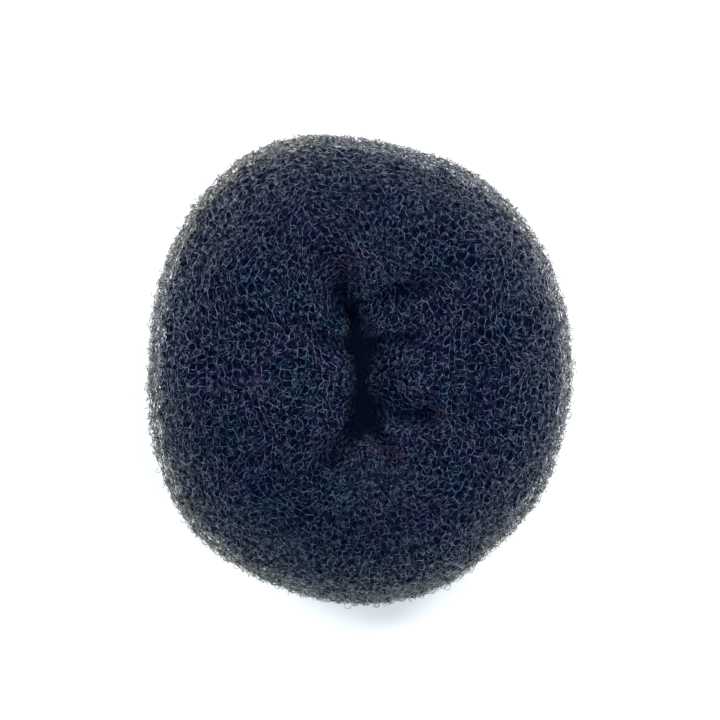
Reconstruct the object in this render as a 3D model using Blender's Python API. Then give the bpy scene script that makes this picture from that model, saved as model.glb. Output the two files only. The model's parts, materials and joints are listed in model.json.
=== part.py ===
"""Net hair donut: a tube of knitted nylon net rolled up on itself into a ring.

The ring lies flat with its hole along Z. Its roll is one continuous band of
lofty net: the outer turn laps over the inner ones, and its thin edge ends on
the underside. The hole is pinched into a slit, and gathers run out from it.
"""

import math
from collections import namedtuple

import bmesh
import bpy

MM = 0.001

# The ring as it lies: width along X, length along Y, height along Z
RING_WIDTH = 90.3 * MM
RING_LENGTH = 100.0 * MM
RING_HEIGHT = 38.0 * MM

# The slit that the hole closes to, and where it sits from the ring's middle
HOLE_WIDTH = 5.4 * MM
HOLE_LENGTH = 22.0 * MM
HOLE_SHIFT_X = 0.6 * MM
HOLE_SHIFT_Y = -3.0 * MM
HOLE_LEAN = math.radians(4.0)

# The rolled band: thickness of a turn, air between turns, its thin lapped edge,
# how many turns it takes to thicken, and to dip under that edge
TURN_THICKNESS = 5.0 * MM
TURN_GAP = 0.5 * MM
LAP_EDGE_THICKNESS = 1.5 * MM
LAP_TAPER_TURNS = 0.3
LAP_DIP_TURNS = 0.08
LAP_ANGLE = math.radians(-138.0)
TURNS = 2

# How square the roll's section is (2 is an ellipse), outside and towards the hole,
# where its walls press on each other, and how much of it rests flat
OUTER_POWER = 2.2
INNER_POWER = 2.9
REST_FLATTENING = 1.0 * MM

# How deep the gathers stay on the underside and half way down the hole, beside
# their depth on top, and where they are deepest, as a share of the half height
UNDERSIDE_DEPTH = 0.6
THROAT_DEPTH = 0.35
MOUTH_RISE = 0.8

# Facets: sections round the ring, points round one turn of the roll
SECTIONS = 60
TURN_POINTS = 30
SECTION_CROWDING = 0.15
POINT_CROWDING = 0.3
POINT_CROWDING_AT = math.radians(150.0)

# Outer edge seen from above: its reach at each angle, as a share of the reach
# of an ellipse as wide and as long as the ring
Edge = namedtuple("Edge", "degrees reach")
OUTLINE = (
    Edge(degrees=0, reach=0.993),
    Edge(degrees=25, reach=0.995),
    Edge(degrees=45, reach=0.997),
    Edge(degrees=62, reach=0.982),
    Edge(degrees=80, reach=0.960),
    Edge(degrees=95, reach=0.990),
    Edge(degrees=110, reach=1.042),
    Edge(degrees=127, reach=1.056),
    Edge(degrees=145, reach=1.034),
    Edge(degrees=165, reach=1.004),
    Edge(degrees=180, reach=0.999),
    Edge(degrees=202, reach=1.030),
    Edge(degrees=225, reach=1.047),
    Edge(degrees=240, reach=1.016),
    Edge(degrees=257, reach=0.995),
    Edge(degrees=290, reach=1.000),
    Edge(degrees=308, reach=0.984),
    Edge(degrees=322, reach=1.004),
    Edge(degrees=340, reach=0.995),
)

# Gathers that run out from the slit: the angle round the hole where each starts
# and ends, its run as a share of the roll's width, and its depth and half width
# as shares of the roll's half width
Gather = namedtuple("Gather", "start end run depth spread")
GATHERS = (
    Gather(start=97, end=104, run=0.52, depth=0.46, spread=0.15),
    Gather(start=78, end=52, run=0.58, depth=0.30, spread=0.17),
    Gather(start=46, end=24, run=0.36, depth=0.24, spread=0.15),
    Gather(start=132, end=152, run=0.34, depth=0.24, spread=0.15),
    Gather(start=244, end=234, run=0.44, depth=0.34, spread=0.15),
    Gather(start=292, end=306, run=0.36, depth=0.28, spread=0.14),
    Gather(start=326, end=344, run=0.46, depth=0.26, spread=0.14),
)

# How far the net swells between gathers, as a share of the roll's half width
LOBE_SWELL = 0.05

NET_COLOUR = (0.013, 0.018, 0.040, 1.0)
NET_ROUGHNESS = 0.45

TAU = 2.0 * math.pi


def smooth_step(value):
    """Rise from 0 to 1 with no corner at either end."""
    value = min(max(value, 0.0), 1.0)
    return value * value * (3.0 - 2.0 * value)


def outline_share(angle):
    """Reach of the outer edge at an angle, on a smooth closed curve through OUTLINE."""
    degrees = math.degrees(angle) % 360.0
    count = len(OUTLINE)
    row = max(i for i in range(count) if OUTLINE[i].degrees <= degrees)

    def knot(index):
        edge = OUTLINE[index % count]
        return edge.degrees + 360.0 * (index // count), edge.reach

    (x0, y0), (x1, y1), (x2, y2), (x3, y3) = (knot(row + step) for step in (-1, 0, 1, 2))
    span = x2 - x1
    slope_in = (y2 - y0) / (x2 - x0) * span
    slope_out = (y3 - y1) / (x3 - x1) * span
    t = (degrees - x1) / span
    return (
        y1 * (2 * t**3 - 3 * t**2 + 1)
        + slope_in * (t**3 - 2 * t**2 + t)
        + y2 * (3 * t**2 - 2 * t**3)
        + slope_out * (t**3 - t**2)
    )


def outer_edge(angle):
    """Point of the ring's outer edge, seen from above."""
    x = 0.5 * RING_WIDTH * math.cos(angle)
    y = 0.5 * RING_LENGTH * math.sin(angle)
    share = outline_share(math.atan2(y, x))
    return x * share, y * share


def inner_edge(angle):
    """Point of the slit's rim, seen from above, where no gather opens it."""
    along = 0.5 * HOLE_WIDTH * math.cos(angle)
    across = 0.5 * HOLE_LENGTH * math.sin(angle)
    x = HOLE_SHIFT_X + along * math.cos(HOLE_LEAN) - across * math.sin(HOLE_LEAN)
    y = HOLE_SHIFT_Y + along * math.sin(HOLE_LEAN) + across * math.cos(HOLE_LEAN)
    return x, y


def section_angle(index):
    """Angle of a section round the hole: they crowd to the slit's two ends."""
    even = TAU * index / SECTIONS
    return even + SECTION_CROWDING * math.sin(2.0 * even)


def across_roll(ring_angle, share_out):
    """Plan point on the line from the slit's rim to the outer edge."""
    inner_x, inner_y = inner_edge(ring_angle)
    outer_x, outer_y = outer_edge(ring_angle)
    return inner_x + (outer_x - inner_x) * share_out, inner_y + (outer_y - inner_y) * share_out


def gather_depth(x, y, sine):
    """How far the net is drawn in over a plan point, as a share of the roll's half width."""
    half_width = 0.25 * (RING_WIDTH - HOLE_WIDTH)
    total = 0.0
    for gather in GATHERS:
        start_x, start_y = inner_edge(math.radians(gather.start))
        end_x, end_y = across_roll(math.radians(gather.end), gather.run)
        run_x, run_y = end_x - start_x, end_y - start_y
        along = ((x - start_x) * run_x + (y - start_y) * run_y) / (run_x**2 + run_y**2)
        along = min(max(along, 0.0), 1.0)
        away = math.hypot(x - start_x - run_x * along, y - start_y - run_y * along)
        across = math.exp(-((away / (gather.spread * half_width)) ** 2))
        total = max(total, gather.depth * across * (1.0 - smooth_step(along)))
    if sine > 0.0:
        return total * (THROAT_DEPTH + (1.0 - THROAT_DEPTH) * smooth_step(sine / MOUTH_RISE))
    return total * (THROAT_DEPTH + (UNDERSIDE_DEPTH - THROAT_DEPTH) * smooth_step(-sine / MOUTH_RISE))


def lobe_swell(ring_angle, roll_angle):
    """How far the net swells into the hole between two gathers."""
    near_hole = smooth_step(-math.cos(roll_angle))
    on_a_side = math.cos(ring_angle) ** 2
    return LOBE_SWELL * near_hole * on_a_side * abs(math.sin(roll_angle))


def roll_angle_at(turns):
    """Angle round the roll, turns in from the lapped edge: points crowd to the mouth."""
    even = LAP_ANGLE - TAU * turns
    return even - POINT_CROWDING * math.sin(even - POINT_CROWDING_AT)


def turn_thickness(turns):
    """Thickness of the band, so many turns in from its lapped edge."""
    grown = smooth_step(turns / LAP_TAPER_TURNS)
    return LAP_EDGE_THICKNESS + (TURN_THICKNESS - LAP_EDGE_THICKNESS) * grown


def depth_outside(turns):
    """Depth of the band's outer face below the roll's surface, turns in from its edge."""
    if turns <= 1.0:
        dip = smooth_step((turns - 1.0 + LAP_DIP_TURNS) / LAP_DIP_TURNS)
        return (LAP_EDGE_THICKNESS + TURN_GAP) * dip
    above = turns - 1.0
    return depth_outside(above) + turn_thickness(above) + TURN_GAP


def band_outline():
    """The rolled band's section, as (roll angle, depth) pairs once round its edge.

    It follows the band's outer face in from the lapped edge to the core, which
    is filled, and the inner face back out along the air gap.
    """
    step = 1.0 / TURN_POINTS
    outward = [i * step for i in range(TURNS * TURN_POINTS + 1)]
    inward = [i * step for i in range((TURNS - 1) * TURN_POINTS, -1, -1)]
    face = [(roll_angle_at(t), depth_outside(t)) for t in outward]
    back = [(roll_angle_at(t), depth_outside(t) + turn_thickness(t)) for t in inward]
    return face + back


def net_point(ring_angle, roll_angle, depth):
    """A point of the net: its place round the ring, round the roll and its depth."""
    half_height = 0.5 * (RING_HEIGHT + REST_FLATTENING)
    cosine = math.cos(roll_angle)
    sine = math.sin(roll_angle)
    power = 2.0 / (OUTER_POWER if cosine > 0.0 else INNER_POWER)
    across = math.copysign(abs(cosine) ** power, cosine)
    upward = math.copysign(abs(sine) ** power, sine)
    plan_x, plan_y = across_roll(ring_angle, 0.5 * (1.0 + across))
    scale = 1.0 - gather_depth(plan_x, plan_y, sine) + lobe_swell(ring_angle, roll_angle)
    scale *= 1.0 - depth / half_height
    x, y = across_roll(ring_angle, 0.5 * (1.0 + across * scale))
    z = half_height * (1.0 + upward * scale) - REST_FLATTENING
    return x, y, max(z, 0.0)


def centre_on_origin(mesh):
    """Move the ring sideways so that its box is centred over the origin."""
    xs = [vertex.co.x for vertex in mesh.verts]
    ys = [vertex.co.y for vertex in mesh.verts]
    middle = (-0.5 * (min(xs) + max(xs)), -0.5 * (min(ys) + max(ys)), 0.0)
    bmesh.ops.translate(mesh, verts=mesh.verts, vec=middle)


def build_rolled_net():
    """Sweep the rolled band round the ring, and close it on itself.

    Every cell is cut along the same diagonal, so nested turns stay parallel.
    """
    band = band_outline()
    face_points = TURNS * TURN_POINTS
    mesh = bmesh.new()
    rings = [
        [mesh.verts.new(net_point(section_angle(i), angle, depth)) for angle, depth in band]
        for i in range(SECTIONS)
    ]
    for i in range(SECTIONS):
        this, following = rings[i], rings[(i + 1) % SECTIONS]
        for j in range(len(band)):
            k = (j + 1) % len(band)
            if j <= face_points:
                mesh.faces.new((this[j], following[j], following[k]))
                mesh.faces.new((this[j], following[k], this[k]))
            else:
                mesh.faces.new((this[j], following[j], this[k]))
                mesh.faces.new((following[j], following[k], this[k]))
    bmesh.ops.recalc_face_normals(mesh, faces=mesh.faces)
    centre_on_origin(mesh)
    data = bpy.data.meshes.new("rolled_net")
    mesh.to_mesh(data)
    mesh.free()
    data.shade_smooth()
    data.set_sharp_from_angle(angle=math.radians(50.0))
    return data


def nylon_net():
    """Dark blue-black nylon monofilament, knitted."""
    material = bpy.data.materials.new("nylon_net")
    material.use_nodes = True
    shader = material.node_tree.nodes["Principled BSDF"]
    shader.inputs["Base Color"].default_value = NET_COLOUR
    shader.inputs["Roughness"].default_value = NET_ROUGHNESS
    shader.inputs["Metallic"].default_value = 0.0
    return material


for existing in list(bpy.data.objects):
    bpy.data.objects.remove(existing, do_unlink=True)

rolled_net = bpy.data.objects.new("rolled_net", build_rolled_net())
rolled_net.data.materials.append(nylon_net())
bpy.context.scene.collection.objects.link(rolled_net)
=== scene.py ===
import json
import math

import bpy
import numpy as np
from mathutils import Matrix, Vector
from mathutils.bvhtree import BVHTree


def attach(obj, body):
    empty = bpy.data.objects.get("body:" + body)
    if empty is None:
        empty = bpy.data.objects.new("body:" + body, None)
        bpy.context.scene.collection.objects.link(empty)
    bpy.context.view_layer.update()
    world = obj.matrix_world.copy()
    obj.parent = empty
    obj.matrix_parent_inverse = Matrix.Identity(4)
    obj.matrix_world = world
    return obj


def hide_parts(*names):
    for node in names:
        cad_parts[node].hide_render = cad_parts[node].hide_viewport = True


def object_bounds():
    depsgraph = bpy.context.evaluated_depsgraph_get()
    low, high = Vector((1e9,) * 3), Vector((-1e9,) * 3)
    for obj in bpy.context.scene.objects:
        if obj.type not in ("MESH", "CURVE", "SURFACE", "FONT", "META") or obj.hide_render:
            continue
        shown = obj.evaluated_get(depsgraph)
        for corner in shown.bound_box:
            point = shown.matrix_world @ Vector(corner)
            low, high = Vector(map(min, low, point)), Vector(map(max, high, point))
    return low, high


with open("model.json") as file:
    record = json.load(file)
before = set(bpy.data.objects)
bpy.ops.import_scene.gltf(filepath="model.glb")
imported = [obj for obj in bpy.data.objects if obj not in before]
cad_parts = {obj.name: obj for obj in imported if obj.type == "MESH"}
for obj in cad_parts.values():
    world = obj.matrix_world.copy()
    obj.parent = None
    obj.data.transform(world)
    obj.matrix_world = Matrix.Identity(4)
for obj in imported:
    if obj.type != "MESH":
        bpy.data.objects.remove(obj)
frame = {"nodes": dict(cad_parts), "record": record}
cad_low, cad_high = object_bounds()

# The roll's form.
# A real donut is a long tube of knitted net rolled down on itself like a stocking.
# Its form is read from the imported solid, so all that follows lies on that solid.
MM = 0.001
TAU = 2.0 * math.pi
TINY = 1e-6
RING_STEPS = 320
ROLL_STEPS = 192
SMOOTHING_PASSES = 6
WIDEST_AIR_GAP = 1.5 * MM
FLOOR_CLEARANCE = 0.1 * MM
# The rays start from this share of the hole's length, so that they fan out at its ends.
SLIT_SHARE = 0.85

solid = frame["nodes"]["rolled_net"]
solid_surface = BVHTree.FromPolygons(
    [v.co for v in solid.data.vertices], [p.vertices for p in solid.data.polygons]
)
hole_low, hole_high = (Vector(c) for c in frame["record"]["physics"]["openings"][0]["box_m"])
hole = (hole_low + hole_high) / 2
hole_half = (hole_high.y - hole_low.y) / 2
heights = [v.co.z for v in solid.data.vertices]
middle_height = (min(heights) + max(heights)) / 2


def leave_roll(start, direction):
    """Where a ray from inside the roll leaves its outermost turn."""
    at, left = start, None
    while True:
        hit, normal, _, _ = solid_surface.ray_cast(at, direction)
        if hit is None:
            return left
        if normal.dot(direction) > 0.0:
            left = hit
        elif left is not None and (hit - left).length > WIDEST_AIR_GAP:
            return left
        at = hit + direction * TINY


# The line through the middle of the roll, and a grid of points over its outermost turn.
spine = np.zeros((RING_STEPS, 3))
skin = np.zeros((RING_STEPS, ROLL_STEPS, 3))
for i in range(RING_STEPS):
    turn = TAU * i / RING_STEPS
    inside = Vector((hole.x, hole.y + SLIT_SHARE * hole_half * math.sin(turn), middle_height))
    outside = Vector((2 * cad_high.x * math.cos(turn), 2 * cad_high.y * math.sin(turn), middle_height))
    outward = (outside - inside).normalized()
    inner_wall = solid_surface.ray_cast(inside, outward)[0]
    outer_wall = solid_surface.ray_cast(outside, -outward)[0]
    centre = (inner_wall + outer_wall) / 2
    spine[i] = centre
    for j in range(ROLL_STEPS):
        angle = TAU * j / ROLL_STEPS
        skin[i, j] = leave_roll(centre, outward * math.cos(angle) + Vector((0, 0, math.sin(angle))))

for _ in range(SMOOTHING_PASSES):
    for axis in (0, 1):
        skin = (np.roll(skin, 1, axis) + 2 * skin + np.roll(skin, -1, axis)) / 4
    spine = (np.roll(spine, 1, 0) + 2 * spine + np.roll(spine, -1, 0)) / 4


# The slit.
# The gathered net crowds in over the hole until only a slit is left between two lips.
# Each row is a place along the slit and where its left and right lip are there, in mm.
SLIT_LIPS = (
    (12.0, -1.0, -1.0),
    (10.2, -1.4, -0.7),
    (6.0, -1.3, 0.4),
    (4.6, -1.2, 1.2),
    (-5.6, -1.2, 1.5),
    (-8.0, -1.6, 2.4),
    (-11.0, -1.5, 2.5),
    (-12.8, 0.6, 1.6),
)
LIP_REACH = 8 * MM


def draw_lips_in(x, y):
    """Sideways shift, in plan, that brings the walls of the hole to where its lips are."""
    lips = np.array(SLIT_LIPS[::-1]) * MM
    wall = skin[:, ROLL_STEPS // 2]
    wall_x = {}
    for side in (-1, 1):
        half = wall[side * np.cos(TAU * np.arange(RING_STEPS) / RING_STEPS) > TINY]
        half = half[np.argsort(half[:, 1])]
        wall_x[side] = np.interp(y, half[:, 1], half[:, 0])
    middle = wall_x[-1] / 2 + wall_x[1] / 2
    moved = x.copy()
    for side, lip_column in ((-1, 1), (1, 2)):
        off = side * (x - middle)
        throat = np.maximum(side * (wall_x[side] - middle), TINY)
        lip = side * (np.interp(y, lips[:, 0], lips[:, lip_column]) - middle)
        within = off * lip / throat
        beyond = lip + (LIP_REACH - lip) * (off - throat) / (LIP_REACH - throat)
        shifted = middle + side * np.where(off < throat, within, beyond)
        moved = np.where((off > 0) & (off < LIP_REACH), shifted, moved)
    past_ends = np.maximum(wall[:, 1].min() - y, y - wall[:, 1].max())
    return (moved - x) * np.clip(1 - past_ends / LIP_REACH, 0, 1)


# Creases and lobes.
# Drawn together at the hole, the net folds in along creases and swells between them.
# Each point of a crease is its x and y in plan, its depth and its width there, in mm.
CREASES = {
    "upper_left": (
        (-1.2, 9.8, 1.4, 2.4),
        (-4.0, 13.0, 1.5, 3.8),
        (-6.2, 17.0, 1.5, 5.8),
        (-6.4, 22.0, 1.5, 6.2),
        (-5.2, 30.0, 0, 6.4),
    ),
    "upper_right": (
        (2.0, 11.4, 0.7, 2.2),
        (4.4, 14.4, 1.2, 2.6),
        (8.3, 15.8, 2.4, 3.4),
        (13.2, 17.6, 2.8, 3.8),
        (18.4, 20.2, 0, 3.4),
    ),
    "right": ((2.4, 5.6, 2.6, 1.8), (8.0, 6.0, 3.2, 2.0), (12.0, 6.8, 1.2, 2.0), (15.2, 7.6, 0, 1.8)),
    "left": ((-2.6, 5.0, 2.8, 2.4), (-6.2, 5.4, 2.8, 2.8), (-10.0, 6.0, 0, 3.0)),
    "lower_left": (
        (-1.8, -13.0, 1.1, 2.0),
        (-5.1, -16.0, 1.4, 2.5),
        (-8.4, -20.0, 0.9, 2.8),
        (-10.4, -23.0, 0, 2.8),
    ),
    "lower_right": ((3.4, -12.4, 1.1, 1.8), (6.2, -14.8, 1.4, 2.2), (8.2, -18.0, 0, 2.4)),
    "right_lower": (
        (4.4, -8.6, 0.9, 2.2),
        (9.6, -8.8, 2.6, 3.8),
        (13.6, -9.2, 3.2, 4.2),
        (16.5, -13.0, 0, 3.8),
    ),
    "right_shelf": ((5.0, 2.4, 1.9, 4.4), (6.2, -6.0, 1.9, 4.6)),
}
LOBES = (
    # x and y in plan, reach, and how far it bulges along y and up, in mm
    (5.4, 10.0, 7.0, -0.6, 4.6),
    (-5.6, 8.6, 6.2, 0.0, 3.8),
    (-4.4, -1.0, 7.0, 0.0, 2.0),
    (0.8, -17.4, 7.0, 3.0, 1.4),
    (3.0, 17.2, 4.4, 0.0, 0.8),
    (-1.4, 17.4, 4.6, 0.0, 2.6),
)
LOBE_HEADROOM = 8 * MM
UPPER_FROM, UPPER_TO = 14 * MM, 26 * MM
# Shade is painted in the creases, full where they are this deep, on past where they end below, and
# down the hole's wall, more and more from the first of these heights to the second.
FOLD_SHADE_DEPTH = 4.6 * MM
FOLD_SHADE_BELOW_CREASES = 8 * MM
WALL_FROM, WALL_TO = 32.8 * MM, 25.2 * MM
WALL_REACH = 4.3 * MM
WALL_STRAIGHT_SHARE = 0.6


def crease_depth(x, y):
    """How deep the creases run at places in plan, in metres."""
    deepest = np.zeros_like(x)
    for points in CREASES.values():
        for near, far in zip(points, points[1:]):
            ax, ay, depth_a, width_a = (c * MM for c in near)
            bx, by, depth_b, width_b = (c * MM for c in far)
            length = (bx - ax) ** 2 + (by - ay) ** 2
            along = np.clip(((x - ax) * (bx - ax) + (y - ay) * (by - ay)) / length, 0, 1)
            off = np.hypot(x - ax - along * (bx - ax), y - ay - along * (by - ay))
            near_line = np.clip(1 - off / (width_a + along * (width_b - width_a)), 0, 1)
            fall = near_line**2 * (3 - 2 * near_line)
            deepest = np.maximum(deepest, (depth_a + along * (depth_b - depth_a)) * fall)
    return deepest


def bulge(x, y):
    """How far the lobes bulge along y and up at places in plan."""
    along_y, rise = np.zeros_like(x), np.zeros_like(x)
    for lobe_x, lobe_y, reach, shift, lift in LOBES:
        off = np.hypot(x - lobe_x * MM, y - lobe_y * MM) / (reach * MM)
        share = np.clip(1 - off**2, 0, 1) ** 2
        along_y += shift * MM * share
        rise += lift * MM * share
    return along_y, rise


def share_up(z):
    """0 on the lower half of the roll, 1 on its upper part."""
    return np.clip((z - UPPER_FROM) / (UPPER_TO - UPPER_FROM), 0, 1)


def paint_fold_shade(at):
    """Painted shade down in the creases and the hole, from 0 to 1."""
    creased = crease_depth(at[:, 0], at[:, 1]) / FOLD_SHADE_DEPTH
    along = np.abs(at[:, 1] - hole.y) / (hole_half + WALL_REACH)
    past_straight = np.maximum(along - WALL_STRAIGHT_SHARE, 0) / (1 - WALL_STRAIGHT_SHARE)
    near_hole = np.hypot((at[:, 0] - hole.x) / WALL_REACH, past_straight)
    down = np.clip((WALL_FROM - at[:, 2]) / (WALL_FROM - WALL_TO), 0, 1)
    painted_fold_shade = np.maximum(creased, down * (near_hole < 1))
    return np.clip(painted_fold_shade * share_up(at[:, 2] + FOLD_SHADE_BELOW_CREASES), 0, 1)


upper = share_up(skin[..., 2])
along_y, rise = bulge(skin[..., 0], skin[..., 1])
headroom = np.clip((cad_high.z - skin[..., 2]) / LOBE_HEADROOM, 0, 1)
skin[..., 1] += upper * along_y
skin[..., 2] += upper * rise * headroom
skin[..., 0] += upper * draw_lips_in(skin[..., 0], skin[..., 1])
inward = spine[:, None] - skin
inward /= np.linalg.norm(inward, axis=2)[..., None]
skin = skin + inward * (upper * crease_depth(skin[..., 0], skin[..., 1]))[..., None]


def even_steps(closed):
    """The same closed line with its points evenly spaced."""
    ends = np.vstack([closed, closed[:1]])
    run = np.concatenate([[0], np.cumsum(np.linalg.norm(np.diff(ends, axis=0), axis=1))])
    wanted = np.arange(len(closed)) * run[-1] / len(closed)
    return np.stack([np.interp(wanted, run, ends[:, k]) for k in range(3)], axis=1)


skin = np.stack([even_steps(section) for section in skin])
ring_lengths = np.linalg.norm(skin - np.roll(skin, -1, 0), axis=2).sum(0)
roll_length = np.linalg.norm(skin - np.roll(skin, -1, 1), axis=2).sum(1).mean()


def on_roll(around, across, depth):
    """Points in the roll, and which way is out there.

    around is the share of the way round the ring, across the share round the
    roll, from its outer edge over the top into the hole, and depth is in metres.
    """
    x, y = (around % 1.0) * RING_STEPS, (across % 1.0) * ROLL_STEPS
    i, j = np.floor(x).astype(int), np.floor(y).astype(int)
    p, q = (x - i)[:, None], (y - j)[:, None]
    i, j = i % RING_STEPS, j % ROLL_STEPS
    i_next, j_next = (i + 1) % RING_STEPS, (j + 1) % ROLL_STEPS
    near = skin[i, j] * (1 - q) + skin[i, j_next] * q
    far = skin[i_next, j] * (1 - q) + skin[i_next, j_next] * q
    at = near * (1 - p) + far * p
    heart = spine[i] * (1 - p) + spine[i_next] * p
    out = at - heart
    out /= np.linalg.norm(out, axis=1)[:, None]
    at = at - out * np.asarray(depth)[:, None]
    at[:, 2] = np.maximum(at[:, 2], FLOOR_CLEARANCE)
    return at, out


# Turns of net.
# Each turn is weft knitted from one nylon monofilament: courses of round loops, each looped
# through the next, so it opens into rounded hexagons. Held loose, the turns stand apart.
FILAMENT = 0.14 * MM
# A filament is finer than a pixel of the photo, so three sides are enough.
FILAMENT_SIDES = 3
NO_LENGTH = 1e-12
COURSE_SAMPLES = 400
# Width of a loop, height of a course and unevenness in depth: at the edge, on top, in the hole, below.
CELLS = (2.2 * MM, 1.8 * MM, 1.6 * MM, 2.8 * MM)
COURSES = (1.9 * MM, 1.65 * MM, 2.6 * MM, 2.4 * MM)
LOFTS = (0.4 * MM, 0.28 * MM, 0.35 * MM, 0.28 * MM)
# Pulled tight in the hole and on top, a turn lies at these shares of its depth.
TIGHT_IN_HOLE = 0.6
TIGHT_ON_TOP = 0.8
# How far loops stray, as a share of a cell, and how far whole courses drift.
JITTER = 0.11
SWAY = 1.0 * MM
SWAY_WAVES = 14
SWAY_LENGTHS = (9 * MM, 22 * MM)
SEED_TO_AROUND, SEED_TO_ACROSS = 50, 60
# How evenly loops are added and dropped, and how far the corners of a loop are rounded off.
CROWDING = (0.8, 1.2)
EVENING_PASSES = 3
EVENING = 0.2
CORNER_CUT = 0.24


def by_place(across, at_edge, on_top, in_hole, below):
    """A size that changes from the outer edge over the top to the hole and back below."""
    return np.interp(across, [0, 0.25, 0.5, 0.75, 1], [at_edge, on_top, in_hole, below, at_edge])


def course_lines(scale):
    """Where the courses run round the roll, and how many loops each has."""
    fine = np.linspace(0, 1, COURSE_SAMPLES + 1)
    spacing = by_place(fine, *COURSES) * scale
    run = np.concatenate([[0], np.cumsum(roll_length / COURSE_SAMPLES / spacing[:-1])])
    count = int(round(run[-1]))
    lines = np.interp(np.arange(count) * run[-1] / count, run, fine)
    all_round = np.append(ring_lengths, ring_lengths[0])
    length = np.interp(lines * ROLL_STEPS, np.arange(ROLL_STEPS + 1), all_round)
    loops = np.round(length / by_place(lines, *CELLS) / scale)
    return lines, loops.astype(int)


def slow_waves(points, waves, lengths, rng):
    """A slow drift over the points, from waves that run every way, about 1 high."""
    drift = np.zeros(len(points))
    for _ in range(waves):
        way = rng.normal(0, 1, 3)
        length = rng.uniform(*lengths)
        drift += np.sin(points @ way / np.linalg.norm(way) * TAU / length + rng.uniform(0, TAU))
    return drift * math.sqrt(2 / waves)


def next_course(loops, count, rng):
    """Loops of the next course: between the last ones, with decreases where they crowd."""
    gaps = np.diff(np.append(loops, loops[0] + 1))
    loops = np.sort((loops + gaps / 2) % 1)
    while len(loops) != count:
        gaps = np.diff(np.append(loops, loops[0] + 1))
        crowd = (gaps + np.roll(gaps, 1)) * rng.uniform(*CROWDING, len(loops))
        if len(loops) > count:
            loops = np.delete(loops, crowd.argmin())
        else:
            k = (gaps * rng.uniform(*CROWDING, len(loops))).argmax()
            loops = np.sort(np.append(loops, loops[k] + gaps[k] / 2) % 1)
    for _ in range(EVENING_PASSES):
        left = np.roll(loops, 1)
        left[0] -= 1
        right = np.roll(loops, -1)
        right[-1] += 1
        loops = (1 - 2 * EVENING) * loops + EVENING * (left + right)
    return np.sort(loops % 1)


def course_between(low, high, low_line, high_line):
    """Junctions of the filament that zigzags between two rows of loops.

    Gives the junctions in order, and which of them touches each loop gap of
    the row below and of the row above.
    """
    a, b = len(low), len(high)
    start = int(np.argmin(np.abs((high - low[0] + 0.5) % 1 - 0.5)))
    shift = round(low[0] - high[start])
    i = j = 0
    junctions, below, above = [], np.zeros(a, int), np.zeros(b, int)

    def low_at(n):
        return low[n % a] + n // a

    def high_at(n):
        return high[(n + start) % b] + (n + start) // b + shift

    while i < a or j < b:
        take_low = j >= b or (i < a and low_at(i + 1) - high_at(j) < high_at(j + 1) - low_at(i))
        if take_low:
            below[i] = len(junctions)
            junctions.append(((low_at(i) + low_at(i + 1) + high_at(j)) / 3, (2 * low_line + high_line) / 3))
            i += 1
        else:
            above[(j + start) % b] = len(junctions)
            junctions.append(((high_at(j) + high_at(j + 1) + low_at(i)) / 3, (low_line + 2 * high_line) / 3))
            j += 1
    return np.array(junctions), below, above


def tube_rings(points, along, out, radius):
    """Corners of a thin tube round each point of a filament."""
    along = along / np.maximum(np.linalg.norm(along, axis=1), NO_LENGTH)[:, None]
    side = np.cross(along, out)
    side /= np.maximum(np.linalg.norm(side, axis=1), NO_LENGTH)[:, None]
    up = np.cross(side, along)
    angles = TAU * np.arange(FILAMENT_SIDES) / FILAMENT_SIDES
    ring = np.cos(angles)[None, :, None] * up[:, None] + np.sin(angles)[None, :, None] * side[:, None]
    return points[:, None] + radius * ring


class Net:
    """Filaments gathered into one mesh."""

    def __init__(self):
        self.corners, self.faces, self.count = [], [], 0

    def closed(self, points, out, radius):
        """A filament that runs round and meets itself."""
        n, sides = len(points), FILAMENT_SIDES
        along = np.roll(points, -1, 0) - np.roll(points, 1, 0)
        self.corners.append(tube_rings(points, along, out, radius).reshape(-1, 3))
        i, s = np.meshgrid(np.arange(n), np.arange(sides), indexing="ij")
        i2, s2 = (i + 1) % n, (s + 1) % sides
        quads = np.stack([i * sides + s, i * sides + s2, i2 * sides + s2, i2 * sides + s], -1)
        self.faces += (quads.reshape(-1, 4) + self.count).tolist()
        self.count += n * sides

    def open_ended(self, points, out, radius):
        """Many filaments alike, each with two closed ends."""
        (many, n), sides = points.shape[:2], FILAMENT_SIDES
        along = np.gradient(points, axis=1).reshape(-1, 3)
        sides_out = np.repeat(out, n, axis=0)
        self.corners.append(tube_rings(points.reshape(-1, 3), along, sides_out, radius).reshape(-1, 3))
        base = (np.arange(many) * n * sides + self.count)[:, None]
        for step in range(n - 1):
            for s in range(sides):
                a, b = step * sides + s, step * sides + (s + 1) % sides
                self.faces += (base + np.array([[a, b, b + sides, a + sides]])).tolist()
        self.faces += (base + np.arange(sides)[::-1][None]).tolist()
        self.faces += (base + (n - 1) * sides + np.arange(sides)[None]).tolist()
        self.count += many * n * sides

    def piece(self, name):
        """The filaments as one object, which also holds the painted shade in the folds at each corner."""
        mesh = bpy.data.meshes.new(name)
        corners = np.concatenate(self.corners)
        mesh.from_pydata(corners.tolist(), [], self.faces)
        mesh.shade_smooth()
        mesh.attributes.new("painted_fold_shade", "FLOAT", "POINT").data.foreach_set("value", paint_fold_shade(corners))
        made = bpy.data.objects.new(name, mesh)
        bpy.context.scene.collection.objects.link(made)
        return made


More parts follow.
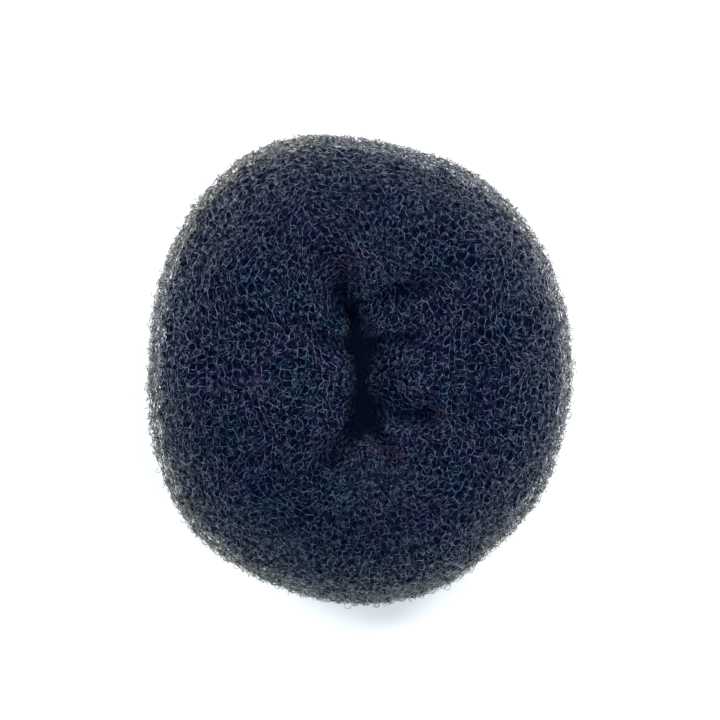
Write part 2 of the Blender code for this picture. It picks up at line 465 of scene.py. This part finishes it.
def knit_turn(name, depth, depth_at_edge, scale, seed, rounded):
    """One turn of net at a depth below the skin of the roll."""
    rng = np.random.default_rng(seed)
    net = Net()
    lines, counts = course_lines(scale)
    rows = [np.sort((np.arange(counts[0]) + rng.uniform(-JITTER, JITTER, counts[0])) / counts[0] % 1)]
    for count in counts[1:]:
        rows.append(next_course(rows[-1], count, rng))
    courses = len(rows)
    middles = []
    for k in range(courses):
        above = (k + 1) % courses
        line_above = lines[above] + (1 if above == 0 else 0)
        middles.append(course_between(rows[k], rows[above], lines[k], line_above))
    placed = []
    for k, (junctions, _, _) in enumerate(middles):
        n = len(junctions)
        step_around = 1.0 / (n / 2)
        step_across = (lines[(k + 1) % courses] - lines[k]) % 1
        rough, _ = on_roll(junctions[:, 0], junctions[:, 1], np.zeros(n))
        around_rng = np.random.default_rng(seed + SEED_TO_AROUND)
        across_rng = np.random.default_rng(seed + SEED_TO_ACROSS)
        sway_around = slow_waves(rough, SWAY_WAVES, SWAY_LENGTHS, around_rng)
        sway_across = slow_waves(rough, SWAY_WAVES, SWAY_LENGTHS, across_rng)
        around = junctions[:, 0] + sway_around * SWAY / ring_lengths.max()
        around = around + rng.normal(0, JITTER * step_around, n)
        across = junctions[:, 1] + sway_across * SWAY / roll_length
        across = across + rng.normal(0, JITTER * step_across, n)
        on_top = TIGHT_ON_TOP * depth
        sunk = by_place(across % 1, depth_at_edge, on_top, TIGHT_IN_HOLE * depth, on_top)
        placed.append(on_roll(around, across, sunk + rng.normal(0, 1, n) * by_place(across % 1, *LOFTS)))
    for k, (points, out) in enumerate(placed):
        ahead, out_ahead = np.roll(points, -1, 0), np.roll(out, -1, 0)
        if rounded:
            after = (1 - CORNER_CUT) * points + CORNER_CUT * ahead
            before = CORNER_CUT * points + (1 - CORNER_CUT) * ahead
            loops = np.stack([after, before], 1).reshape(-1, 3)
            out_loops = np.stack([out, out_ahead], 1).reshape(-1, 3)
        else:
            loops, out_loops = points, out
        net.closed(loops, out_loops, FILAMENT / 2)
        points_below, _ = placed[k - 1]
        links = np.stack([points_below[middles[k - 1][2]], points[middles[k][1]]], 1)
        net.open_ended(links, out[middles[k][1]], FILAMENT / 2)
    return net.piece(name)


def linear(hex_colour):
    """sRGB hex to the linear colour that shaders take."""
    channels = [int(hex_colour[k : k + 2], 16) / 255 for k in (1, 3, 5)]
    return [c / 12.92 if c <= 0.04045 else ((c + 0.055) / 1.055) ** 2.4 for c in channels] + [1.0]


def add_node(graph, kind, settings=None, links=None):
    """Add a node, set its values and ramp stops, and link its inputs."""
    node = graph.nodes.new(kind)
    for key, value in (settings or {}).items():
        if key == "stops":
            for stop, (position, colour) in zip(node.color_ramp.elements, value):
                stop.position, stop.color = position, linear(colour)
        elif isinstance(key, int) or key in node.inputs:
            node.inputs[key].default_value = value
        else:
            setattr(node, key, value)
    for key, source in (links or {}).items():
        graph.links.new(source, node.inputs[key])
    return node


# Drawn nylon monofilament is smooth and glossy, so each strand carries thin, cold glints,
# and it is thin enough to let light by, so strands look paler where white lies behind them.
# Down in the creases and the hole's wall, shade is painted in: the colour darkens and the sheen dulls.
NYLON_IOR = 1.53
SHEEN, SHEEN_IN_FOLD_SHADE = "#e1edff", "#3f5073"
FOLD_SHADE_BRIGHTNESS = 0.2
# The light let by is real; towards the outer edge it is painted paler, as backlight from the white paper.
LIGHT_BY_INSIDE, PAINTED_PALER_LIGHT_BY = "#2c3654", "#bfbda6"
# Light also wanders between the many real turns. For it, a very faint navy glow is painted on the
# strands, more where shade is painted in the folds.
PAINTED_GLOW = "#01091d"
PAINTED_GLOW_IN_FOLD_SHADE = 0.6
# The dye is patchy, violet to teal. Shade is painted on one side: darker and bluer towards the lower
# left. The painted glints are as long as half a loop, as each loop turns towards the light and away.
DYE_PATCH = 9 * MM
DARKER_AT, LIGHTER_AT = 0.4, 0.6
SHADED_SIDE = (-0.35, -0.95, 0)
SHADED_SIDE_FROM, SHADED_SIDE_TO = 0.2, 0.85
SIDE_SHADE_TINT = "#61b3c8"
# Painted glints: how long they are, and how far they dull and brighten the colour.
GLINT_LENGTH = 0.9 * MM
GLINT_FROM, GLINT_TO = 0.38, 0.66
DULLEST, BRIGHTEST = 0.05, 2.25
# From this share of the way out the net is painted paler towards the outer edge: painted backlight, where
# white paper shows through.
SHOULDER_FROM = 0.7
RIM_STRENGTH = 0.8
SHOULDER_AT, RIM_AT = 0.62, 0.95


def dye_and_painted_light(graph, dyes_and_backlight):
    """The dye's colour with painted side shade and painted backlight, and how near to the outer edge a place
    is.
    """
    darker, lighter, shoulder_backlight, rim_backlight = dyes_and_backlight
    place = add_node(graph, "ShaderNodeNewGeometry").outputs["Position"]
    patches = add_node(
        graph, "ShaderNodeTexNoise", {"Scale": 1 / DYE_PATCH, "Detail": 2.0}, {"Vector": place}
    )
    patchy = add_node(
        graph,
        "ShaderNodeValToRGB",
        {"stops": ((DARKER_AT, darker), (LIGHTER_AT, lighter))},
        {"Fac": patches.outputs["Fac"]},
    )
    spread = add_node(
        graph,
        "ShaderNodeVectorMath",
        {"operation": "MULTIPLY", 1: (1 / cad_high.x, 1 / cad_high.y, 0)},
        {0: place},
    ).outputs["Vector"]
    # Painted shade: darker and bluer towards the lower left.
    side = add_node(graph, "ShaderNodeVectorMath", {"operation": "DOT_PRODUCT", 1: SHADED_SIDE}, {0: spread})
    shaded_side_share = add_node(
        graph,
        "ShaderNodeMapRange",
        {"From Min": SHADED_SIDE_FROM, "From Max": SHADED_SIDE_TO},
        {"Value": side.outputs["Value"]},
    )
    painted_side_shade = add_node(
        graph,
        "ShaderNodeMix",
        {"data_type": "RGBA", "blend_type": "MULTIPLY", "B": linear(SIDE_SHADE_TINT)},
        {"Factor": shaded_side_share.outputs["Result"], "A": patchy.outputs["Color"]},
    )
    # Painted backlight: paler towards the outer edge, where white paper lies behind the net.
    far_out = add_node(graph, "ShaderNodeVectorMath", {"operation": "LENGTH"}, {0: spread})
    at_edge = add_node(
        graph,
        "ShaderNodeMapRange",
        {"From Min": SHOULDER_FROM, "From Max": 1.0, "To Max": RIM_STRENGTH},
        {"Value": far_out.outputs["Value"]},
    ).outputs["Result"]
    painted_edge_backlight = add_node(
        graph,
        "ShaderNodeValToRGB",
        {"stops": ((SHOULDER_AT, shoulder_backlight), (RIM_AT, rim_backlight))},
        {"Fac": at_edge},
    )
    dye_with_painted_backlight = add_node(
        graph,
        "ShaderNodeMix",
        {"data_type": "RGBA"},
        {"Factor": at_edge, "A": painted_side_shade.outputs["Result"], "B": painted_edge_backlight.outputs["Color"]},
    )
    return dye_with_painted_backlight.outputs["Result"], at_edge


def painted_glints_and_fold_shade(graph, painted_fold_shade):
    """How bright a strand's colour is painted, from painted glints and painted shade in the folds."""
    place = add_node(graph, "ShaderNodeNewGeometry").outputs["Position"]
    # Painted glints: the colour is brightened and dulled along each strand, in patches half a loop long.
    glints = add_node(
        graph, "ShaderNodeTexNoise", {"Scale": 1 / GLINT_LENGTH, "Detail": 0.0}, {"Vector": place}
    )
    painted_glints = add_node(
        graph,
        "ShaderNodeMapRange",
        {"From Min": GLINT_FROM, "From Max": GLINT_TO, "To Min": DULLEST, "To Max": BRIGHTEST},
        {"Value": glints.outputs["Fac"]},
    )
    # Painted shade in the folds darkens the colour.
    shade = add_node(
        graph, "ShaderNodeMapRange", {"To Min": 1.0, "To Max": FOLD_SHADE_BRIGHTNESS}, {"Value": painted_fold_shade}
    )
    painted_light_level = add_node(
        graph,
        "ShaderNodeMath",
        {"operation": "MULTIPLY"},
        {0: painted_glints.outputs["Result"], 1: shade.outputs["Result"]},
    )
    return painted_light_level.outputs["Value"]


def drawn_nylon(name, dyes_and_backlight, roughness, gloss, clear, glow):
    """Dyed nylon monofilament: clear is the share of light let by, glow a painted glow for wandering light.

    The first two colours are the darker and the lighter dye of its patches, the last two the painted
    backlight on the shoulder of the outer edge and at the edge itself. gloss is the strength of
    its reflections, where plain nylon has 0.5.
    """
    material = bpy.data.materials.new(name)
    material.use_nodes = True
    graph = material.node_tree
    shader = graph.nodes["Principled BSDF"]
    # Painted shade in the folds, kept at each corner of the mesh.
    painted_fold_shade = add_node(graph, "ShaderNodeAttribute", {"attribute_name": "painted_fold_shade"}).outputs["Fac"]
    colour, at_edge = dye_and_painted_light(graph, dyes_and_backlight)
    painted_light_level = painted_glints_and_fold_shade(graph, painted_fold_shade)
    # The dye, with painted glints, painted shade and painted backlight in it.
    painted_dye = add_node(
        graph, "ShaderNodeVectorMath", {"operation": "SCALE"}, {0: colour, "Scale": painted_light_level}
    )
    graph.links.new(painted_dye.outputs["Vector"], shader.inputs["Base Color"])
    shader.inputs["Roughness"].default_value = roughness
    shader.inputs["IOR"].default_value = NYLON_IOR
    shader.inputs["Specular IOR Level"].default_value = gloss
    shader.inputs["Specular Tint"].default_value = linear(SHEEN)
    shader.inputs["Emission Color"].default_value = linear(PAINTED_GLOW)
    shader.inputs["Emission Strength"].default_value = glow
    # Where shade is painted in the folds, a painted navy glow is added and the sheen is dulled.
    if glow == 0.0:
        painted_glow_in_folds = add_node(
            graph, "ShaderNodeMath", {"operation": "MULTIPLY", 1: PAINTED_GLOW_IN_FOLD_SHADE}, {0: painted_fold_shade}
        )
        graph.links.new(painted_glow_in_folds.outputs["Value"], shader.inputs["Emission Strength"])
        sheen = add_node(
            graph,
            "ShaderNodeMix",
            {"data_type": "RGBA", "A": linear(SHEEN), "B": linear(SHEEN_IN_FOLD_SHADE)},
            {"Factor": painted_fold_shade},
        )
        graph.links.new(sheen.outputs["Result"], shader.inputs["Specular Tint"])
    if clear > 0.0:
        light_by_paler_at_edge = add_node(
            graph,
            "ShaderNodeMix",
            {"data_type": "RGBA", "A": linear(LIGHT_BY_INSIDE), "B": linear(PAINTED_PALER_LIGHT_BY)},
            {"Factor": at_edge},
        )
        # The light let by carries the same painted glints and painted shade.
        painted_light_by = add_node(
            graph,
            "ShaderNodeVectorMath",
            {"operation": "SCALE"},
            {0: light_by_paler_at_edge.outputs["Result"], "Scale": painted_light_level},
        )
        let_by = add_node(graph, "ShaderNodeBsdfTranslucent", {}, {"Color": painted_light_by.outputs["Vector"]})
        both = add_node(
            graph,
            "ShaderNodeMixShader",
            {"Fac": clear},
            {1: shader.outputs["BSDF"], 2: let_by.outputs["BSDF"]},
        )
        graph.links.new(both.outputs["Shader"], graph.nodes["Material Output"].inputs["Surface"])
    return material


NET_ROUGHNESS = 0.18
# Painted backlight: the colours the net is painted on the shoulder and at the outer edge.
SHOULDER_BACKLIGHT, RIM_BACKLIGHT = "#585e68", "#4b4b41"
# The turns are one nylon: the deeper ones are painted darker, with less gloss and a faint glow, as painted
# shade and painted light for their depth.
TURNS = (
    # name, depth, depth at the outer edge, cell scale, rounded, darker and lighter dye, gloss, clear,
    # painted glow
    ("outer_turn", 0.2 * MM, 0.2 * MM, 1.0, True, "#514b69", "#3e5567", 0.82, 0.4, 0.0),
    ("second_turn", 0.7 * MM, 0.85 * MM, 1.06, True, "#262a49", "#1e324b", 0.46, 0.25, 0.0),
    ("third_turn", 1.3 * MM, 1.45 * MM, 1.08, False, "#121831", "#0e1d33", 0.14, 0.0, 0.3),
    ("fourth_turn", 2.1 * MM, 2.15 * MM, 1.12, False, "#060c26", "#040f26", 0.05, 0.0, 0.55),
)
for seed, (name, depth, depth_at_edge, scale, rounded, *look) in enumerate(TURNS, 1):
    turn_of_net = knit_turn(name, depth, depth_at_edge, scale, seed, rounded)
    darker, lighter, gloss, clear, glow = look
    dyes_and_backlight = (darker, lighter, SHOULDER_BACKLIGHT, RIM_BACKLIGHT)
    nylon = drawn_nylon("drawn_nylon_" + name, dyes_and_backlight, NET_ROUGHNESS, gloss, clear, glow)
    turn_of_net.data.materials.append(nylon)
    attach(turn_of_net, "root")

# Loose loops.
# Where the knitting slackens, small curls of the same nylon, stretched thinner, stand off the
# outer turn at every angle, thickest round the outer edge, where they blur the roll's outline.
CURL_POINTS = 7
CURL_TURN = 1.5 * math.pi
CURL_LOFT = 0.3 * MM
CURL_FILAMENT = 0.12 * MM
# Dyes of the curls' patches, then the painted backlight at the outer edge.
CURL_DYES_AND_BACKLIGHT = ("#484863", "#3c4d5f", SHOULDER_BACKLIGHT, RIM_BACKLIGHT)
CURL_ROUGHNESS, CURL_GLOSS, CURL_CLEAR = 0.22, 0.73, 0.4
LOOPS = (
    # name, count, middle and spread across the roll, smallest, largest, depth, how flat they lie, seed
    ("edge_loops", 3600, 0.06, 0.08, 0.35 * MM, 0.65 * MM, 0.3 * MM, 0.0, 71),
    ("top_loops", 2400, 0.23, 0.10, 0.45 * MM, 0.8 * MM, 0.15 * MM, 2.0, 72),
    ("rim_loops", 1300, 0.0, 0.04, 0.5 * MM, 0.85 * MM, 0.0, 0.0, 73),
    ("lip_loops", 250, 0.43, 0.02, 0.4 * MM, 0.8 * MM, 0.2 * MM, 0.0, 74),
    ("throat_loops", 260, 0.48, 0.025, 0.5 * MM, 0.9 * MM, -0.5 * MM, 0.0, 75),
)


def loose_curls(name, count, across_middle, across_spread, smallest, largest, depth, lying, seed):
    """Small curls scattered over part of the roll: at any angle, or lying on it where lying is high."""
    rng = np.random.default_rng(seed)
    around = rng.uniform(0, 1, count)
    across = across_middle + across_spread * rng.normal(0, 1, count)
    centres, out = on_roll(around, across, rng.normal(depth, CURL_LOFT, count))
    normal = rng.normal(0, 1, (count, 3)) + lying * out
    normal /= np.linalg.norm(normal, axis=1)[:, None]
    first = np.cross(normal, rng.normal(0, 1, (count, 3)))
    first /= np.linalg.norm(first, axis=1)[:, None]
    second = np.cross(normal, first)
    angle = np.linspace(0, CURL_TURN, CURL_POINTS)[None, :, None]
    size = rng.uniform(smallest, largest, count)[:, None, None]
    points = centres[:, None] + size * (np.cos(angle) * first[:, None] + np.sin(angle) * second[:, None])
    points[..., 2] = np.maximum(points[..., 2], FLOOR_CLEARANCE)
    curls = Net()
    curls.open_ended(points, normal, CURL_FILAMENT / 2)
    return curls.piece(name)


for row in LOOPS:
    curls = loose_curls(*row)
    nylon = drawn_nylon(
        "drawn_nylon_" + curls.name, CURL_DYES_AND_BACKLIGHT, CURL_ROUGHNESS, CURL_GLOSS, CURL_CLEAR, glow=0.0
    )
    curls.data.materials.append(nylon)
    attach(curls, "root")

# Tight inner turns.
# Below the loose turns the same net is wound tight. Its strands can no longer be told apart,
# so the wound net reads as one soft, lumpy body. It is painted nearly black, with no gloss and
# a faint painted glow: painted shade and painted light for how deep it lies.
CORE_DEPTH = 2.9 * MM
CORE_AT_EDGE = 1.02
CORE_AROUND, CORE_ACROSS = 240, 120
CORE_LUMPS = 0.7 * MM
CORE_WAVES = 24
CORE_LUMP_LENGTHS = (3.5 * MM, 7.0 * MM)
CORE_SEED = 90
# Near-black dyes, painted shade for the depth, then the painted backlight at the outer edge.
CORE_SHADED_DYES_AND_BACKLIGHT = ("#020614", "#020714", "#0a0f20", "#1c1f24")
CORE_ROUGHNESS = 0.9
CORE_PAINTED_GLOW = 0.7

i, j = np.meshgrid(np.arange(CORE_AROUND), np.arange(CORE_ACROSS), indexing="ij")
core_around, core_across = (i / CORE_AROUND).ravel(), (j / CORE_ACROSS).ravel()
core_sunk = CORE_DEPTH * by_place(core_across, CORE_AT_EDGE, 1.0, TIGHT_IN_HOLE, 1.0)
smooth_points, _ = on_roll(core_around, core_across, core_sunk)
lumps = slow_waves(smooth_points, CORE_WAVES, CORE_LUMP_LENGTHS, np.random.default_rng(CORE_SEED))
core_points, _ = on_roll(core_around, core_across, core_sunk + CORE_LUMPS * lumps)
i2, j2 = (i + 1) % CORE_AROUND, (j + 1) % CORE_ACROSS
core_corners = (i * CORE_ACROSS + j, i2 * CORE_ACROSS + j, i2 * CORE_ACROSS + j2, i * CORE_ACROSS + j2)
core_mesh = bpy.data.meshes.new("inner_turns")
core_mesh.from_pydata(core_points.tolist(), [], np.stack(core_corners, -1).reshape(-1, 4).tolist())
core_mesh.shade_smooth()
core = bpy.data.objects.new("inner_turns", core_mesh)
bpy.context.scene.collection.objects.link(core)
wound_net = drawn_nylon(
    "wound_nylon_net", CORE_SHADED_DYES_AND_BACKLIGHT, CORE_ROUGHNESS, gloss=0.0, clear=0.0, glow=CORE_PAINTED_GLOW
)
core_mesh.materials.append(wound_net)
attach(core, "root")
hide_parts("rolled_net")

# Floor, light and camera.
# The ring lies on matt white paper, which shows soft shadow and no gloss, between pale walls and
# under a dark ceiling, so strands catch light at their sides. The camera looks straight down.
FLOOR_REACH = 0.6
FLOOR_STEPS = 64
PAPER_WHITE = "#f4f4f4"
LAMP_DISTANCE = 1.3
LAMP_SIZE = 0.5
LAMPS = (
    # name, bearing and height in degrees, watts, tint
    ("right_back_softbox", 50, 49, 15.5, "#fffefd"),
    ("left_back_softbox", 145, 49, 15.5, "#fffefd"),
    ("left_front_softbox", 245, 42, 3.2, "#dafcff"),
    ("right_front_softbox", 335, 49, 7.2, "#f9feff"),
)
WALL_LIGHT = 1.65
CEILING_LIGHT = "#213f6c"
WALLS_TO, CEILING_FROM = math.radians(15), math.radians(48)
# The photo's side, and how far below its centre the ring lies, in pixels of this real size.
PHOTO_PIXEL = 0.2125 * MM
PHOTO_SIDE = 720
OBJECT_BELOW_CENTRE = 9.25
LENS_IN_MM = 100

floor_mesh = bpy.data.meshes.new("floor")
floor_angles = [TAU * k / FLOOR_STEPS for k in range(FLOOR_STEPS)]
floor_rim = [(FLOOR_REACH * math.cos(angle), FLOOR_REACH * math.sin(angle), 0) for angle in floor_angles]
floor_mesh.from_pydata(floor_rim, [], [tuple(range(FLOOR_STEPS))])
floor = bpy.data.objects.new("floor", floor_mesh)
bpy.context.scene.collection.objects.link(floor)
paper = bpy.data.materials.new("matt_white_paper")
paper.use_nodes = True
paper.node_tree.nodes["Principled BSDF"].inputs["Base Color"].default_value = linear(PAPER_WHITE)
paper.node_tree.nodes["Principled BSDF"].inputs["Roughness"].default_value = 1.0
floor_mesh.materials.append(paper)

for name, bearing, height, watts, tint in LAMPS:
    bearing, height = math.radians(bearing), math.radians(height)
    level = LAMP_DISTANCE * math.cos(height)
    place = (level * math.cos(bearing), level * math.sin(bearing), LAMP_DISTANCE * math.sin(height))
    lamp = bpy.data.lights.new(name, "AREA")
    lamp.energy, lamp.size, lamp.color = watts, LAMP_SIZE, linear(tint)[:3]
    holder = bpy.data.objects.new(name, lamp)
    holder.location = place
    holder.rotation_euler = (-Vector(place)).to_track_quat("-Z", "Y").to_euler()
    bpy.context.scene.collection.objects.link(holder)

bpy.context.scene.view_settings.view_transform = "Standard"
world = bpy.data.worlds.new("studio")
bpy.context.scene.world = world
world.use_nodes = True
room = world.node_tree
direction = add_node(room, "ShaderNodeTexCoord")
split = add_node(room, "ShaderNodeSeparateXYZ", {}, {"Vector": direction.outputs["Generated"]})
ceiling = add_node(
    room,
    "ShaderNodeMapRange",
    {"From Min": math.sin(WALLS_TO), "From Max": math.sin(CEILING_FROM)},
    {"Value": split.outputs["Z"]},
)
walls = add_node(
    room,
    "ShaderNodeMix",
    {"data_type": "RGBA", "A": (WALL_LIGHT, WALL_LIGHT, WALL_LIGHT, 1), "B": linear(CEILING_LIGHT)},
    {"Factor": ceiling.outputs["Result"]},
)
room.links.new(walls.outputs["Result"], room.nodes["Background"].inputs["Color"])
room.nodes["Background"].inputs["Strength"].default_value = 1.0

camera_data = bpy.data.cameras.new("camera")
camera_data.lens = LENS_IN_MM
camera = bpy.data.objects.new("camera", camera_data)
distance = PHOTO_SIDE * PHOTO_PIXEL * camera_data.lens / camera_data.sensor_width
camera.location = (0, OBJECT_BELOW_CENTRE * PHOTO_PIXEL, middle_height + distance)
bpy.context.scene.collection.objects.link(camera)
bpy.context.scene.camera = camera
